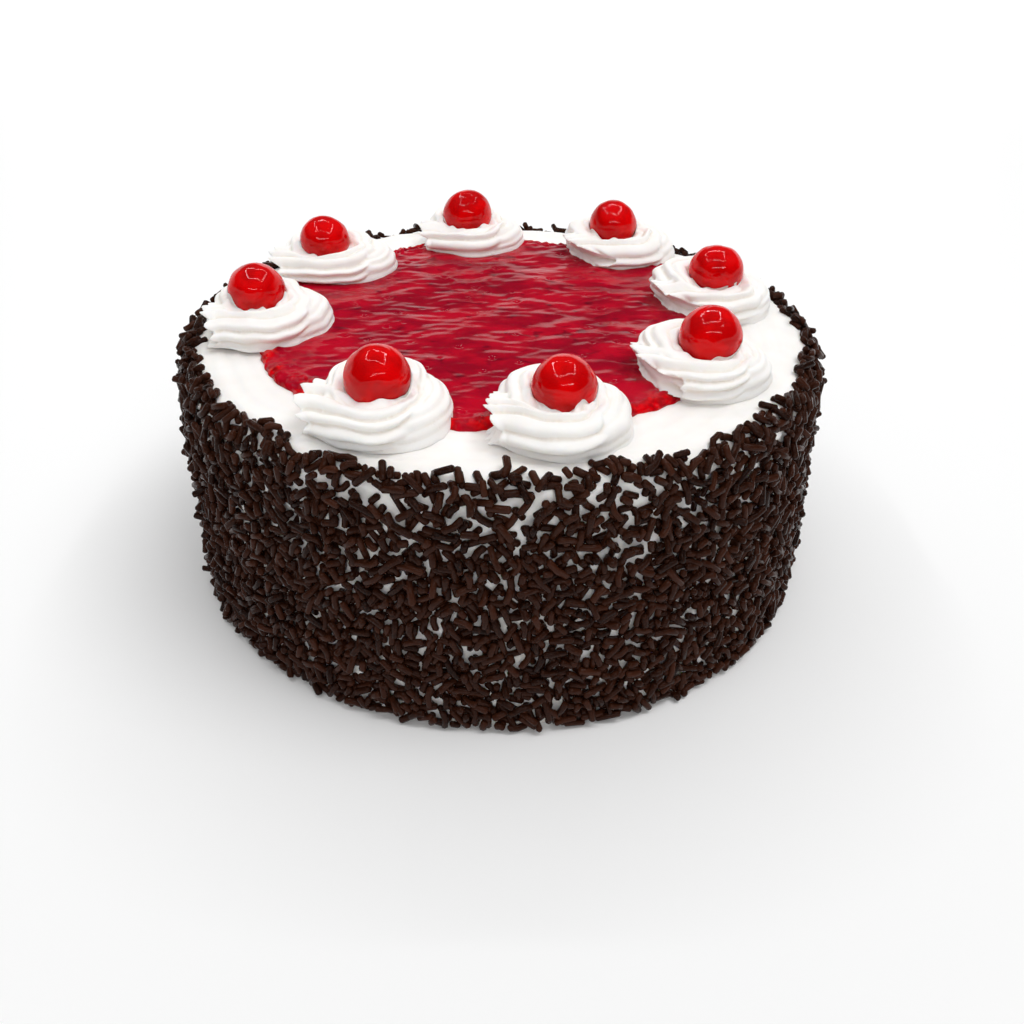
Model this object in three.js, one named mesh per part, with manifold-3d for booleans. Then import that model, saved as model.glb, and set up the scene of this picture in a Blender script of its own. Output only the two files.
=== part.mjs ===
// A black forest cake: an iced round body, a disc of cherry gel on its top, and a ring of piped cream
// rosettes that each hold a cherry. Millimetres, +Z up, origin at the middle of the base.
import * as THREE from "three";
import { mergeVertices } from "three/addons/utils/BufferGeometryUtils.js";
import Module from "manifold-3d";

const wasm = await Module();
wasm.setup();

// Driving dimensions
const CAKE = { radius: 104.5, topRadius: 103.4, height: 82, shoulder: 7, foot: 2, oval: 1.3, ovalAngle: -75 };
const GEL = { radius: 80.2, thickness: 2.4, edge: 3.2, foot: 0.4 };
const CHERRY = { diameter: 18.8, aboveTop: 12.5 };
const GAP = 0.3; // clearance between pieces that nest in each other

// The piped rope: its ridges, and where the nozzle was as it went round. It starts at the back, circles
// clockwise, climbs inside its own first lap, and from the front runs out straight to its ridged end.
const ROPE = { ridges: 9, ridgeDepth: 1.3, toothLength: 1.5, endBulge: 3.2 };
const COIL = [
  { turned: 0, radius: 12.4, z: 2.4, wide: 3.6, tall: 3.4 },
  { turned: 55, radius: 12.4, z: 3.4, wide: 7, tall: 6.2 },
  { turned: 300, radius: 12.4, z: 3.4, wide: 7, tall: 6.2 },
  { turned: 400, radius: 9.6, z: 5.5, wide: 6.6, tall: 6 },
  { turned: 460, radius: 9.6, z: 5.7, wide: 6.6, tall: 6 },
  { turned: 540, radius: 12.4, z: 5.5, wide: 8.4, tall: 5.8 },
];
const RUN_OUT = { turned: 620, x: -17.5, y: -3.2, z: 5.7, wide: 10.2, tall: 4.8 };
const JOIN = { turned: 310, lap: 8 }; // where the rope's two lengths are joined, and by how much they lap
const CORE = { top: 9, bottom: 10, height: 7 }; // radii and height of the cream that fills the coil's middle

// One entry for each rosette round the top: its cherry's place, the cream's own offset under the cherry,
// the degrees that it is turned and how much it is spread along X, then the cherry's share of the usual
// size and how its axis leans about X and Y, in degrees.
const PLACES = [
  { angle: -174.2, ring: 78.4, cream: [3.7, -1.2], turn: 20, spread: 1, cherry: 1.0, lean: [6, -4] },
  { angle: 145.1, ring: 78.3, cream: [4.2, 0.2], turn: 8, spread: 1.16, cherry: 0.99, lean: [4, 10] },
  { angle: 99.6, ring: 78.3, cream: [2.2, -0.8], turn: 4, spread: 1.04, cherry: 1.04, lean: [-3, 4] },
  { angle: 56.4, ring: 78.5, cream: [2.7, -1.2], turn: 18, spread: 1.11, cherry: 1.01, lean: [2, 12] },
  { angle: 10.5, ring: 74.8, cream: [-1.1, 0], turn: 18, spread: 1.05, cherry: 1.0, lean: [0, -16] },
  { angle: -35.2, ring: 75.2, cream: [-1.7, -0.6], turn: 3, spread: 1.05, cherry: 1.01, lean: [5, 6] },
  { angle: -77.3, ring: 77.8, cream: [-0.8, -1], turn: 3, spread: 1, cherry: 0.98, lean: [-4, 12] },
  { angle: -114.5, ring: 78.8, cream: [0.3, -0.2], turn: -3, spread: 1, cherry: 1.0, lean: [4, -3] },
];

const COLOURS = { cream: "#f7f4ee", gel: "#8c0a1c", cherry: "#c8070d" };

const radians = THREE.MathUtils.degToRad;
const smooth = (x) => THREE.MathUtils.smoothstep(x, 0, 1);
const lerp = THREE.MathUtils.lerp;
const UP = new THREE.Vector3(0, 0, 1);

// A closed surface through a stack of rings with the same number of points, capped at both ends by a
// fan from the ring's own middle. The rings run anticlockwise about the direction they are stacked in.
function stackOfRings(rings) {
  const around = rings[0].length;
  const points = rings.flat();
  const middle = (ring) => ring.reduce((sum, p) => sum.add(p), new THREE.Vector3()).divideScalar(around);
  const first = points.push(middle(rings[0])) - 1;
  const last = points.push(middle(rings.at(-1))) - 1;
  const faces = [];
  for (let i = 0; i < around; i++) {
    const next = (i + 1) % around;
    faces.push(first, next, i);
    for (let k = 0; k + 1 < rings.length; k++) {
      const low = k * around;
      const high = low + around;
      faces.push(low + i, low + next, high + next, low + i, high + next, high + i);
    }
    const top = (rings.length - 1) * around;
    faces.push(top + i, top + next, last);
  }
  return new THREE.BufferGeometry().setFromPoints(points).setIndex(faces);
}

// A three.js geometry as a solid that can be cut and joined, and back.
function solid(geometry) {
  const bare = geometry.clone();
  bare.deleteAttribute("normal");
  bare.deleteAttribute("uv");
  const merged = mergeVertices(bare, 1e-4);
  const vertProperties = merged.attributes.position.array;
  const triVerts = new Uint32Array(merged.index.array);
  return new wasm.Manifold(new wasm.Mesh({ numProp: 3, vertProperties, triVerts }));
}

function geometryOf(manifold) {
  const mesh = manifold.getMesh();
  return new THREE.BufferGeometry()
    .setAttribute("position", new THREE.BufferAttribute(mesh.vertProperties, 3))
    .setIndex(new THREE.BufferAttribute(mesh.triVerts, 1));
}

// The iced body: nearly a cylinder, a little oval, with a small foot radius and a soft shoulder.
function cakeGeometry() {
  const around = 60;
  const shoulderSteps = 3;
  const profile = [
    [CAKE.radius - CAKE.foot, 0],
    [CAKE.radius, CAKE.foot],
    [CAKE.radius, CAKE.height * 0.4],
  ];
  for (let i = 0; i <= shoulderSteps; i++) {
    const a = (i / shoulderSteps) * (Math.PI / 2);
    profile.push([
      CAKE.topRadius - CAKE.shoulder * (1 - Math.cos(a)),
      CAKE.height - CAKE.shoulder * (1 - Math.sin(a)),
    ]);
  }
  const oval = (a) => CAKE.oval * Math.cos(2 * (a - radians(CAKE.ovalAngle)));
  const ring = ([radius, z]) =>
    Array.from({ length: around }, (_, i) => {
      const a = (i / around) * 2 * Math.PI;
      const r = radius + oval(a);
      return new THREE.Vector3(r * Math.cos(a), r * Math.sin(a), z);
    });
  return stackOfRings(profile.map(ring));
}

// The gel's outline wanders in and out a little, as poured gel does.
function gelOutline(a) {
  return GEL.radius + 1.2 * Math.cos(2 * a + 5.2) + 0.8 * Math.cos(3 * a + 0.6) + 0.5 * Math.sin(5 * a);
}

// The gel: a flat disc with a rounded rim. grow widens and thickens it, to cut its seat in the rosettes.
function gelGeometry(grow = 0) {
  const around = 48;
  const rimSteps = 3;
  const profile = [[grow, -grow]];
  for (let i = 0; i <= rimSteps; i++) {
    const a = (i / rimSteps) * (Math.PI / 2);
    const z = lerp(GEL.foot, GEL.thickness, Math.sin(a));
    profile.push([grow - GEL.edge * (1 - Math.cos(a)), z + grow]);
  }
  const ring = ([out, z]) =>
    Array.from({ length: around }, (_, i) => {
      const a = (i / around) * 2 * Math.PI;
      const r = gelOutline(a) + out;
      return new THREE.Vector3(r * Math.cos(a), r * Math.sin(a), CAKE.height + z);
    });
  return stackOfRings(profile.map(ring));
}

// A cherry: a sphere that narrows a little towards its far end, flattened along its axis.
// grow makes it larger, to cut its seat in the cream.
function cherryGeometry({ cherry, lean }, grow = 0) {
  const radius = (CHERRY.diameter / 2) * cherry + grow;
  const geometry = new THREE.SphereGeometry(radius, 12, 8).rotateX(Math.PI / 2);
  const position = geometry.attributes.position;
  for (let i = 0; i < position.count; i++) {
    const z = position.getZ(i) / radius;
    const narrowing = 1 - 0.06 * z * z - 0.04 * z;
    position.setXYZ(i, position.getX(i) * narrowing, position.getY(i) * narrowing, position.getZ(i) * 0.97);
  }
  return geometry.rotateX(radians(lean[0])).rotateY(radians(lean[1])).translate(0, 0, CHERRY.aboveTop);
}

// The nozzle's place after turning this many degrees, with half the rope's width and height there.
function coilAt(turned) {
  const front = COIL.at(-1);
  if (turned > front.turned) {
    const share = (turned - front.turned) / (RUN_OUT.turned - front.turned);
    return {
      x: lerp(0, RUN_OUT.x, share),
      y: lerp(-front.radius, RUN_OUT.y, smooth(share)),
      z: lerp(front.z, RUN_OUT.z, share),
      wide: lerp(front.wide, RUN_OUT.wide, share),
      tall: lerp(front.tall, RUN_OUT.tall, share),
    };
  }
  const i = Math.max(1, COIL.findIndex((station) => station.turned >= turned));
  const share = smooth((turned - COIL[i - 1].turned) / (COIL[i].turned - COIL[i - 1].turned));
  const value = (key) => lerp(COIL[i - 1][key], COIL[i][key], share);
  const angle = radians(90 - turned);
  return {
    x: value("radius") * Math.cos(angle),
    y: value("radius") * Math.sin(angle),
    z: value("z"),
    wide: value("wide"),
    tall: value("tall"),
  };
}

// The star-shaped rope of cream between two places on the coil, as a stack of sections across it.
// Its last section bulges and is drawn out into teeth.
function ropeGeometry(from, to, steps) {
  const around = 2 * ROPE.ridges;
  const rings = [];
  for (let k = 0; k <= steps; k++) {
    const turned = from + ((to - from) * k) / steps;
    const { x, y, z, wide, tall } = coilAt(turned);
    const centre = new THREE.Vector3(x, y, z);
    const ahead = coilAt(turned + 1);
    const behind = coilAt(turned - 1);
    const along = new THREE.Vector3(ahead.x - behind.x, ahead.y - behind.y, 0).normalize();
    const across = new THREE.Vector3(-along.y, along.x, 0);
    const isEnd = turned === RUN_OUT.turned;
    rings.push(
      Array.from({ length: around }, (_, i) => {
        const b = (i / around) * 2 * Math.PI;
        const ridge = i % 2 === 0 ? 0.5 : -0.5;
        const aside = Math.cos(b);
        const pulled = isEnd ? ROPE.endBulge * (1 - aside * aside) + ROPE.toothLength * ridge : 0;
        return centre
          .clone()
          .addScaledVector(across, (wide + ROPE.ridgeDepth * ridge) * aside)
          .addScaledVector(UP, (tall + ROPE.ridgeDepth * ridge) * Math.sin(b))
          .addScaledVector(along, pulled);
      }),
    );
  }
  return stackOfRings(rings);
}

// One rosette about its own middle: two lengths of rope joined over a core, cut flat underneath,
// then cut to sit round its cherry and over the gel.
function rosette(place, centre) {
  const { top, bottom, height } = CORE;
  const core = new THREE.CylinderGeometry(top, bottom, height, 12).rotateX(Math.PI / 2);
  const floor = new THREE.BoxGeometry(80, 80, 40).translate(0, 0, -20);
  const piped = solid(ropeGeometry(0, JOIN.turned + JOIN.lap, 8))
    .add(solid(ropeGeometry(JOIN.turned - JOIN.lap, RUN_OUT.turned, 10)))
    .add(solid(core.translate(0, 0, height / 2)));
  const [x, y] = place.cream;
  const turned = geometryOf(piped).rotateZ(radians(place.turn)).scale(place.spread, 1, 1);
  const moved = turned.translate(x, y, 0);
  const seated = solid(moved).subtract(solid(floor)).subtract(solid(cherryGeometry(place, GAP)));
  const placed = geometryOf(seated).translate(centre.x, centre.y, centre.z);
  return geometryOf(solid(placed).subtract(solid(gelGeometry(GAP))));
}

function centreOf({ angle, ring }) {
  return new THREE.Vector3(ring * Math.cos(radians(angle)), ring * Math.sin(radians(angle)), CAKE.height);
}

function piece(name, geometry, material) {
  const mesh = new THREE.Mesh(geometry, material);
  mesh.name = name;
  return mesh;
}

const cream = new THREE.MeshStandardMaterial({ color: COLOURS.cream, roughness: 0.55, metalness: 0 });
const gel = new THREE.MeshStandardMaterial({ color: COLOURS.gel, roughness: 0.12, metalness: 0 });
const candied = new THREE.MeshStandardMaterial({ color: COLOURS.cherry, roughness: 0.1, metalness: 0 });

const blackForestCake = new THREE.Group();
blackForestCake.add(piece("iced_cake", cakeGeometry(), cream));
blackForestCake.add(piece("cherry_gel", gelGeometry(), gel));
PLACES.forEach((place, i) => {
  const centre = centreOf(place);
  blackForestCake.add(piece(`rosette_${i + 1}`, rosette(place, centre), cream));
  const cherry = piece(`cherry_${i + 1}`, cherryGeometry(place), candied);
  cherry.position.copy(centre);
  blackForestCake.add(cherry);
});

export default blackForestCake;
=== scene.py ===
from math import pi, radians

import bpy
import numpy as np
from mathutils import Matrix, Vector


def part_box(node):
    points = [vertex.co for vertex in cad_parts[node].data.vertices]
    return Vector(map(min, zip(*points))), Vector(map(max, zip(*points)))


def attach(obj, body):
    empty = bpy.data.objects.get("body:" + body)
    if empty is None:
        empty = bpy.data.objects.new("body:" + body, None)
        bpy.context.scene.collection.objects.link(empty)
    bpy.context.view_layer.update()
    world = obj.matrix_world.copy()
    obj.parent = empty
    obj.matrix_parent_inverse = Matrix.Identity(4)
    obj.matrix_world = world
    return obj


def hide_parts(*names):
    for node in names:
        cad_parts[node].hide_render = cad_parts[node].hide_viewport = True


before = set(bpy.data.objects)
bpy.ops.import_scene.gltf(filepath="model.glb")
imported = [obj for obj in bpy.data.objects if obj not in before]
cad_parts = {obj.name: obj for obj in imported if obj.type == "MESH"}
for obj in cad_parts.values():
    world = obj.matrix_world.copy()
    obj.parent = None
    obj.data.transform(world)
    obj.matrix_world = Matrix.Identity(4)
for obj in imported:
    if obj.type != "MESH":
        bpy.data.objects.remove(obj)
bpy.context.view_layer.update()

# Lengths below are in millimetres, and a mesh is put in metres when it is made.
MM = 0.001

# ---------------------------------------------------------------- sizes from the frame


def box_mm(node):
    """The lowest and highest corner of a CAD node, in millimetres."""
    low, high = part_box(node)
    return np.array(low) / MM, np.array(high) / MM


CAKE_LOW, CAKE_HIGH = box_mm("iced_cake")
TOP = CAKE_HIGH[2]
WIDEST = (CAKE_HIGH[:2] - CAKE_LOW[:2]) / 2
BASE_RADIUS = WIDEST.mean()
OVAL_ANGLE = radians(-75)                        # the way in which the oval body is widest
OVAL = (WIDEST[1] - WIDEST[0]) / 2 / np.cos(radians(30))  # how far it is out of round there
TAPER = 1.1          # how much narrower the shoulder is than the base
SHOULDER = 7.0       # radius of the rounding between side and top
GEL_LOW, GEL_HIGH = box_mm("cherry_gel")
GEL_RADIUS = (GEL_HIGH[:2] - GEL_LOW[:2]).mean() / 2
GEL_THICK = GEL_HIGH[2] - GEL_LOW[2]
PLACES = range(1, 9)
VERTICAL = np.array([0.0, 0.0, 1.0])
FLATTEN = np.array([1.0, 1.0, 0.0])

# ---------------------------------------------------------------- arrays and meshes


def ease(share):
    """Smooth step: 3t^2 - 2t^3 with t held between 0 and 1."""
    t = np.clip(share, 0.0, 1.0)
    return t * t * (3.0 - 2.0 * t)


def waves(points, length, seed, stretch=(1.0, 1.0, 1.0), count=28):
    """Smooth random relief, about -1 to 1: a sum of cosines that run in random directions, with wavelengths
    scattered round length and drawn out along each axis by stretch."""
    draw = np.random.default_rng(seed)
    ways = draw.normal(size=(count, 3))
    ways /= np.linalg.norm(ways, axis=1)[:, None]
    ways *= (2 * pi / length) * draw.uniform(0.6, 1.5, count)[:, None] / np.array(stretch)
    phases = draw.uniform(0, 2 * pi, count)
    total = np.zeros(points.shape[:-1])
    for way, phase in zip(ways, phases):
        total += np.cos(points @ way + phase)
    return total / np.sqrt(count * 0.9)


def circle_points(angle, radius):
    """Points at each angle round the vertical axis, at a radius in millimetres and at height 0."""
    return np.stack([radius * np.cos(angle), radius * np.sin(angle), 0.0 * angle], -1)


def add_attributes(mesh, attributes):
    """Stores one number for each point of a mesh, under each attribute's name."""
    for key, values in attributes.items():
        layer = mesh.attributes.new(key, "FLOAT", "POINT")
        layer.data.foreach_set("value", np.asarray(values, np.float32).ravel())


def placed(name, data):
    """A new object in the scene, at the origin."""
    thing = bpy.data.objects.new(name, data)
    bpy.context.scene.collection.objects.link(thing)
    return thing


def mesh_from(name, points, quads, triangles=None, attributes=None):
    """A smooth-shaded mesh object from millimetre points, quads and triangles given as whole arrays."""
    corners = [np.asarray(quads, np.int32).ravel()]
    sizes = [np.full(len(quads), 4, np.int32)]
    if triangles is not None:
        corners.append(np.asarray(triangles, np.int32).ravel())
        sizes.append(np.full(len(triangles), 3, np.int32))
    corners = np.concatenate(corners)
    sizes = np.concatenate(sizes)
    mesh = bpy.data.meshes.new(name)
    mesh.vertices.add(len(points))
    mesh.vertices.foreach_set("co", (np.asarray(points) * MM).astype(np.float32).ravel())
    mesh.loops.add(len(corners))
    mesh.loops.foreach_set("vertex_index", corners)
    mesh.polygons.add(len(sizes))
    mesh.polygons.foreach_set("loop_start", np.concatenate([[0], np.cumsum(sizes)[:-1]]).astype(np.int32))
    mesh.update(calc_edges=True)
    mesh.shade_smooth()
    add_attributes(mesh, attributes or {})
    return placed(name, mesh)


def ring_faces(rings, around):
    """Faces of a closed surface of rings stacked along its axis, numbered ring by ring, with a pole before
    the first ring's number range and one after it: quads between rings and a fan at each pole."""
    here = np.arange(around)
    ahead = (here + 1) % around
    low = (np.arange(rings - 1) * around)[:, None]
    quads = np.stack([low + here, low + ahead, low + around + ahead, low + around + here], -1)
    first, last = rings * around, rings * around + 1
    top = (rings - 1) * around
    fans = np.concatenate([
        np.stack([np.full(around, first), ahead, here], -1),
        np.stack([top + here, top + ahead, np.full(around, last)], -1),
    ])
    return quads.reshape(-1, 4), fans


def closed_surface(name, grid, attributes=None):
    """A closed piece from a grid of points, rings by points around, with a pole at each end ring's middle."""
    rings, around = grid.shape[:2]
    poles = np.stack([grid[0].mean(0), grid[-1].mean(0)])
    quads, fans = ring_faces(rings, around)
    full = {}
    for key, values in (attributes or {}).items():
        full[key] = np.concatenate([values.ravel(), [values[0].mean(), values[-1].mean()]])
    return mesh_from(name, np.concatenate([grid.reshape(-1, 3), poles]), quads, fans, full)


def finish_piece(piece, slot, material, *nodes):
    """Puts a made piece on the cake's body, with its finish and the CAD nodes that it stands for."""
    piece.data.materials.append(material)
    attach(piece, "root")
    if nodes:
        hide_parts(*nodes)
    return piece


# ---------------------------------------------------------------- materials


class Finish:
    """A node material being built: a Principled shader, with short calls for the nodes that feed it."""

    def __init__(self, name):
        self.material = bpy.data.materials.new(name)
        self.material.use_nodes = True
        self.nodes = self.material.node_tree.nodes
        self.links = self.material.node_tree.links
        self.shader = self.nodes["Principled BSDF"]
        self.object_place = self.add("ShaderNodeTexCoord").outputs["Object"]

    def add(self, kind, **settings):
        """A new node of a kind, with its settings."""
        node = self.nodes.new(kind)
        for key, value in settings.items():
            setattr(node, key, value)
        return node

    def feed(self, socket, value):
        """Links another node's output to a socket, or sets the socket to a plain value."""
        if isinstance(value, bpy.types.NodeSocket):
            self.links.new(value, socket)
        else:
            socket.default_value = value

    def set(self, **values):
        """Sets the shader's own sockets, named with underscores for spaces."""
        for key, value in values.items():
            self.feed(self.shader.inputs[key.replace("_", " ")], value)
        return self

    def stretched(self, scale):
        """Object coordinates, squeezed by scale along each axis."""
        node = self.add("ShaderNodeMapping")
        self.feed(node.inputs["Vector"], self.object_place)
        node.inputs["Scale"].default_value = scale
        return node.outputs["Vector"]

    def noise(self, size, detail=3.0, roughness=0.5, distortion=0.0, vector=None):
        """Noise whose blotches are about size millimetres across."""
        node = self.add("ShaderNodeTexNoise")
        self.feed(node.inputs["Vector"], vector or self.object_place)
        node.inputs["Scale"].default_value = 1.0 / (size * MM)
        node.inputs["Detail"].default_value = detail
        node.inputs["Roughness"].default_value = roughness
        node.inputs["Distortion"].default_value = distortion
        return node.outputs["Fac"]

    def cells(self, size, feature="F1", randomness=1.0, vector=None):
        """Distance to scattered points about size millimetres apart."""
        node = self.add("ShaderNodeTexVoronoi", feature=feature)
        self.feed(node.inputs["Vector"], vector or self.object_place)
        node.inputs["Scale"].default_value = 1.0 / (size * MM)
        node.inputs["Randomness"].default_value = randomness
        return node.outputs["Distance"]

    def attribute(self, name):
        """The number that the mesh stores at each point under a name."""
        return self.add("ShaderNodeAttribute", attribute_name=name).outputs["Fac"]

    def ranged(self, value, low, high, to_low=0.0, to_high=1.0):
        """value from low..high carried to to_low..to_high, held at both ends."""
        node = self.add("ShaderNodeMapRange", interpolation_type="SMOOTHSTEP")
        self.feed(node.inputs["Value"], value)
        for key, number in zip(("From Min", "From Max", "To Min", "To Max"), (low, high, to_low, to_high)):
            node.inputs[key].default_value = number
        return node.outputs["Result"]

    def math(self, operation, first, second=0.0):
        """The result of one sum on two values."""
        node = self.add("ShaderNodeMath", operation=operation)
        self.feed(node.inputs[0], first)
        self.feed(node.inputs[1], second)
        return node.outputs[0]

    def mix(self, share, first, second):
        """A colour from first to second as share goes from 0 to 1."""
        node = self.add("ShaderNodeMix", data_type="RGBA")
        self.feed(node.inputs[0], share)
        self.feed(node.inputs[6], first if isinstance(first, bpy.types.NodeSocket) else (*first, 1.0))
        self.feed(node.inputs[7], second if isinstance(second, bpy.types.NodeSocket) else (*second, 1.0))
        return node.outputs[2]

    def bump(self, height, depth, normal=None):
        """Relief in the normals, depth millimetres for a height of 1."""
        node = self.add("ShaderNodeBump")
        node.inputs["Strength"].default_value = 1.0
        node.inputs["Distance"].default_value = depth * MM
        self.feed(node.inputs["Height"], height)
        if normal is not None:
            self.feed(node.inputs["Normal"], normal)
        return node.outputs["Normal"]


def whipped_finish():
    """A node group for whipped cream and icing: Shade is a faint mottle, Pores the tiny air holes."""
    group = bpy.data.node_groups.new("whipped_surface", "ShaderNodeTree")
    group.interface.new_socket("Vector", in_out="INPUT", socket_type="NodeSocketVector")
    group.interface.new_socket("Mottle Scale", in_out="INPUT", socket_type="NodeSocketFloat")
    group.interface.new_socket("Pore Scale", in_out="INPUT", socket_type="NodeSocketFloat")
    group.interface.new_socket("Shade", in_out="OUTPUT", socket_type="NodeSocketFloat")
    group.interface.new_socket("Pores", in_out="OUTPUT", socket_type="NodeSocketFloat")
    start = group.nodes.new("NodeGroupInput")
    end = group.nodes.new("NodeGroupOutput")
    mottle = group.nodes.new("ShaderNodeTexNoise")
    mottle.inputs["Detail"].default_value = 3.0
    pores = group.nodes.new("ShaderNodeTexVoronoi")
    pit = group.nodes.new("ShaderNodeMapRange")
    pit.interpolation_type = "SMOOTHSTEP"
    pit.inputs["From Min"].default_value = 0.02
    pit.inputs["From Max"].default_value = 0.16
    link = group.links.new
    link(start.outputs["Vector"], mottle.inputs["Vector"])
    link(start.outputs["Mottle Scale"], mottle.inputs["Scale"])
    link(start.outputs["Vector"], pores.inputs["Vector"])
    link(start.outputs["Pore Scale"], pores.inputs["Scale"])
    link(pores.outputs["Distance"], pit.inputs["Value"])
    link(mottle.outputs["Fac"], end.inputs["Shade"])
    link(pit.outputs["Result"], end.inputs["Pores"])
    return group


def whipped(finish, group, mottle_size, pore_size):
    """Places the whipped surface group in a material and returns its Shade and Pores."""
    node = finish.add("ShaderNodeGroup", node_tree=group)
    finish.feed(node.inputs["Vector"], finish.object_place)
    node.inputs["Mottle Scale"].default_value = 1.0 / (mottle_size * MM)
    node.inputs["Pore Scale"].default_value = 1.0 / (pore_size * MM)
    return node.outputs["Shade"], node.outputs["Pores"]


def icing_material(group):
    """Smooth whipped icing: near white, with faint spatula strokes and a few air holes."""
    finish = Finish("whipped_icing")
    shade, pores = whipped(finish, group, 16.0, 3.2)
    strokes = finish.noise(9.0, 2.0, vector=finish.stretched((1.0, 1.0, 2.4)))
    colour = finish.mix(finish.ranged(shade, 0.35, 0.7), (0.915, 0.888, 0.86), (0.95, 0.93, 0.905))
    relief = finish.math("ADD", finish.math("MULTIPLY", pores, 0.12), finish.math("MULTIPLY", strokes, 0.8))
    finish.set(Base_Color=colour, Roughness=0.55, Subsurface_Weight=0.25, Subsurface_Scale=0.002,
               Subsurface_Radius=(1.0, 0.8, 0.6), IOR=1.45, Specular_IOR_Level=0.35,
               Normal=finish.bump(relief, 0.35))
    return finish.material


def cream_material(group):
    """Piped cream: white, with painted shade that darkens and warms it down in its grooves, and faintly pink
    where a cherry sits.
    """
    finish = Finish("piped_cream")
    shade, pores = whipped(finish, group, 9.0, 2.4)
    plain = finish.mix(finish.ranged(shade, 0.35, 0.7), (0.925, 0.902, 0.875), (0.955, 0.938, 0.915))
    # painted shade: the groove attribute darkens the cream to a warm grey down in its grooves
    groove = finish.ranged(finish.attribute("groove"), 0.0, 1.0, 0.0, 0.7)
    groove_shaded = finish.mix(groove, plain, (0.84, 0.78, 0.70))
    blotch = finish.ranged(finish.noise(3.5, 2.0), 0.42, 0.62)
    bleed = finish.math("MULTIPLY", finish.attribute("bleed"), blotch)
    colour = finish.mix(finish.math("MULTIPLY", bleed, 0.2), groove_shaded, (0.93, 0.42, 0.40))
    finish.set(Base_Color=colour, Roughness=0.5, Subsurface_Weight=0.3, Subsurface_Scale=0.002,
               Subsurface_Radius=(1.0, 0.8, 0.6), IOR=1.45, Specular_IOR_Level=0.35,
               Normal=finish.bump(pores, 0.03))
    return finish.material


def gel_material():
    """Cherry gel: deep crimson with cloudy streaks, brighter red at its thin rim, wet and rippled."""
    finish = Finish("cherry_gel")
    drawn = finish.stretched((0.6, 1.0, 1.0))
    clouds = finish.noise(11.0, 4.0, 0.6, vector=drawn)
    streaks = finish.noise(5.0, 2.0, 0.55, 0.5, vector=finish.stretched((0.7, 1.0, 1.0)))
    deep = finish.mix(finish.ranged(clouds, 0.36, 0.64), (0.27, 0.0, 0.012), (0.46, 0.001, 0.016))
    streaked = finish.mix(finish.ranged(streaks, 0.56, 0.76, 0.0, 0.75), deep, (0.09, 0.0, 0.008))
    mottle = finish.ranged(finish.noise(3.4, 2.0), 0.40, 0.62)
    thin = finish.mix(mottle, (0.34, 0.0, 0.004), (0.68, 0.0, 0.003))
    colour = finish.mix(finish.attribute("rim"), streaked, thin)
    pits = finish.ranged(finish.cells(9.0, vector=drawn), 0.03, 0.10)
    ripples = finish.noise(4.5, 1.5, 0.45, 0.4, vector=drawn)
    crinkle = finish.math("MULTIPLY", finish.noise(2.2, 1.0), finish.attribute("rim"))
    relief = finish.math("ADD", ripples, finish.math("MULTIPLY", pits, 0.5))
    relief = finish.math("ADD", relief, finish.math("MULTIPLY", crinkle, 6.0))
    finish.set(Base_Color=colour, Roughness=0.12, Subsurface_Weight=0.15, Subsurface_Scale=0.003,
               Subsurface_Radius=(1.0, 0.15, 0.1), IOR=1.33, Specular_IOR_Level=0.24,
               Normal=finish.bump(relief, 0.2))
    return finish.material


def cherry_material():
    """Candied cherry: saturated glossy red in soft blotches, with painted shade darkening its stem hollow and
    creases, and fine skin wrinkles.
    """
    finish = Finish("candied_cherry")
    cloud = finish.noise(7.0, 2.0)
    body = finish.mix(finish.ranged(cloud, 0.36, 0.62), (0.50, 0.0, 0.001), (0.69, 0.0, 0.001))
    # painted shade: the hollow attribute darkens the red in the stem hollow and the creases
    colour = finish.mix(finish.attribute("hollow"), body, (0.40, 0.0, 0.001))
    wrinkles = finish.noise(1.6, 2.0, 0.5, 0.6)
    finish.set(Base_Color=colour, Roughness=0.04, Subsurface_Weight=0.35, Subsurface_Scale=0.004,
               Subsurface_Radius=(1.0, 0.06, 0.04), IOR=1.45, Specular_IOR_Level=0.31,
               Normal=finish.bump(wrinkles, 0.03))
    return finish.material


def sprinkle_material():
    """Chocolate sprinkles: dark brown with a soft sheen, each a little lighter or darker than the next."""
    finish = Finish("chocolate_sprinkles")
    shade = finish.attribute("shade")
    colour = finish.mix(shade, (0.008, 0.0022, 0.0011), (0.042, 0.0118, 0.0055))
    grain = finish.noise(0.5, 2.0)
    mottled = finish.mix(finish.ranged(grain, 0.45, 0.7, 0.0, 0.35), colour, (0.070, 0.024, 0.012))
    finish.set(Base_Color=mottled, Roughness=0.22, IOR=1.40, Specular_IOR_Level=0.15,
               Normal=finish.bump(grain, 0.05))
    return finish.material


# ---------------------------------------------------------------- the iced body

LEVEL_WITHIN = 74.0  # inside this radius the top is plain, because the gel covers it


def icing_profile(along):
    """Radius, height and outward normal at a distance along the side from the base: up the slightly
    tapered side, round the shoulder's quarter circle, then level towards the middle of the top."""
    straight = TOP - SHOULDER
    quarter = SHOULDER * pi / 2
    turn = np.clip((along - straight) / SHOULDER, 0.0, pi / 2)
    side_radius = BASE_RADIUS - TAPER * ease(along / straight)
    radius = side_radius - SHOULDER * (1 - np.cos(turn)) - np.maximum(along - straight - quarter, 0.0)
    height = np.minimum(along, straight) + SHOULDER * np.sin(turn)
    return radius, height, np.cos(turn), np.sin(turn)


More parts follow.
